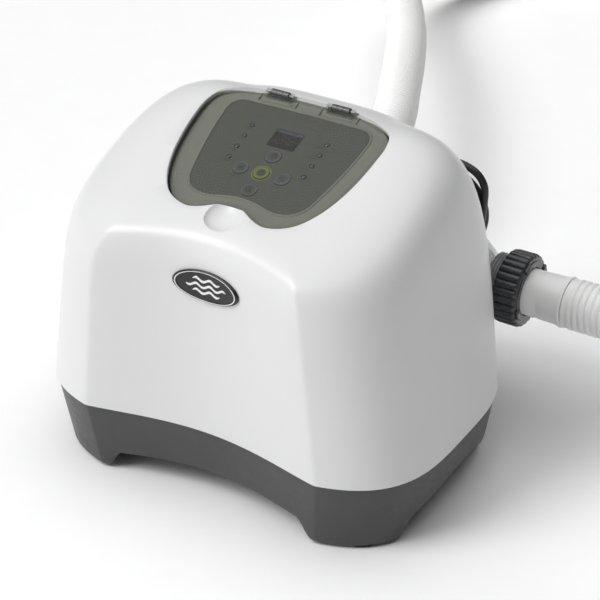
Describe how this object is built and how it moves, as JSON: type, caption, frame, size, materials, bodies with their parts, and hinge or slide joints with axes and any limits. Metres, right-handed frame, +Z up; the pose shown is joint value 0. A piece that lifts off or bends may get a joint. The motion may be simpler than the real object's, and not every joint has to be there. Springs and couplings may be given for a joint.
{
  "type": "saltwater pool chlorinator",
  "caption": "Domed white case on a grey footed base with a smoked lid over its keypad, a clear electrolytic cell behind, union nuts, corrugated pool hoses and a coiled mains lead.",
  "frame": {"origin": "on the ground under the middle of the unit's box, hoses and mains lead left out", "axes": "+Z up, front of the case towards -Y, outlet hose leaves towards +X, inlet hose towards +Y"},
  "size_m": [0.8645, 1.299, 0.3053],
  "materials": {
    "white_shell": "glossy moulded",
    "grey_base": "fine texture",
    "black_gloss": "glossy",
    "black_nut": "satin moulded",
    "deck_grey": "satin moulded",
    "membrane": "printed film",
    "smoked_clear": "clear smoked polycarbonate",
    "clear_cell": "clear moulded",
    "collar_grey": "moulded thread",
    "hose_white": "corrugated polyethylene",
    "black_rubber": "matte",
    "cord_black": "satin PVC",
    "steel": "plain",
    "brass": "plain",
    "copper": "enamelled wire",
    "aluminium": "extruded",
    "board_green": "solder resist",
    "terminal_white": "moulded"
  },
  "bodies": {
    "root": {"base_shell": "grey_base", "top_shell": "white_shell", "rubber_foot_1": "black_rubber", "case_screw_1": "steel", "rubber_foot_2": "black_rubber", "case_screw_2": "steel", "rubber_foot_3": "black_rubber", "case_screw_3": "steel", "rubber_foot_4": "black_rubber", "case_screw_4": "steel", "badge": "black_gloss", "control_bezel": "deck_grey", "membrane_panel": "membrane", "display_window": "black_gloss", "display_module": "black_gloss", "control_board": "board_green", "light_pipes_left": "black_gloss", "light_pipes_right": "black_gloss", "hinge_pin_left": "steel", "hinge_pin_right": "steel", "transformer_core": "steel", "transformer_winding": "copper", "power_board": "board_green", "heat_sink": "aluminium", "terminal_block": "terminal_white", "cell_housing": "clear_cell", "electrode_plates": "steel", "electrode_cap": "collar_grey", "sensor_cap": "collar_grey", "paddle_pin": "steel", "cell_bracket_left": "grey_base", "cell_bracket_right": "grey_base", "outlet_collar": "collar_grey", "inlet_collar": "collar_grey", "outlet_seal": "black_rubber", "inlet_seal": "black_rubber", "cord_gland": "cord_black", "outlet_cuff": "hose_white", "inlet_cuff": "hose_white", "outlet_hose": "hose_white", "outlet_hose_end_cuff": "hose_white", "inlet_hose": "hose_white", "inlet_hose_end_cuff": "hose_white", "cord_lead": "cord_black", "cord_coil": "cord_black", "cord_tail": "cord_black", "cord_tie": "cord_black", "mains_plug": "cord_black", "plug_pins": "brass"},
    "lid": {"lid": "smoked_clear"},
    "paddle": {"flow_paddle": "collar_grey"},
    "outlet_nut": {"outlet_nut": "black_nut"},
    "inlet_nut": {"inlet_nut": "black_nut"},
    "outlet_end_nut": {"outlet_hose_end_nut": "black_nut"},
    "inlet_end_nut": {"inlet_hose_end_nut": "black_nut"},
    "button_top": {"button_top": "membrane"},
    "button_left": {"button_left": "membrane"},
    "button_power": {"button_power": "membrane"},
    "button_right": {"button_right": "membrane"},
    "button_bottom": {"button_bottom": "membrane"}
  },
  "joints": [
    {"name": "lid_hinge", "type": "hinge", "parent": "root", "child": "lid", "pos_m": [0, -0.00063, 0.30206], "axis": [-1, 0, 0], "range_deg": [0, 100]},
    {"name": "press_top", "type": "slide", "parent": "root", "child": "button_top", "axis": [0, 0.3387, -0.9409], "range_m": [0, 0.0006], "stiffness_N_per_m": 2500},
    {"name": "press_left", "type": "slide", "parent": "root", "child": "button_left", "axis": [0, 0.3387, -0.9409], "range_m": [0, 0.0006], "stiffness_N_per_m": 2500},
    {"name": "press_power", "type": "slide", "parent": "root", "child": "button_power", "axis": [0, 0.3387, -0.9409], "range_m": [0, 0.0006], "stiffness_N_per_m": 2500},
    {"name": "press_right", "type": "slide", "parent": "root", "child": "button_right", "axis": [0, 0.3387, -0.9409], "range_m": [0, 0.0006], "stiffness_N_per_m": 2500},
    {"name": "press_bottom", "type": "slide", "parent": "root", "child": "button_bottom", "axis": [0, 0.3387, -0.9409], "range_m": [0, 0.0006], "stiffness_N_per_m": 2500},
    {"name": "paddle_swing", "type": "hinge", "parent": "root", "child": "paddle", "pos_m": [0.088, 0.11542, 0.115], "axis": [0, -1, 0], "range_deg": [0, 50], "stiffness_Nm_per_rad": 0.004},
    {"name": "outlet_nut_turn", "type": "hinge", "parent": "root", "child": "outlet_nut", "pos_m": [0.145, 0.11542, 0.109], "axis": [1, 0, 0], "continuous": true},
    {"name": "inlet_nut_turn", "type": "hinge", "parent": "root", "child": "inlet_nut", "pos_m": [-0.089, 0.17042, 0.109], "axis": [0, 1, 0], "continuous": true},
    {"name": "outlet_end_nut_turn", "type": "hinge", "parent": "root", "child": "outlet_end_nut", "pos_m": [0.16164, 1.08265, 0.03774], "axis": [-0.9958, -0.0513, 0.0758], "continuous": true},
    {"name": "inlet_end_nut_turn", "type": "hinge", "parent": "root", "child": "inlet_end_nut", "pos_m": [0.17784, 0.86017, 0.03703], "axis": [0.3721, -0.9262, 0.0611], "continuous": true}
  ]
}
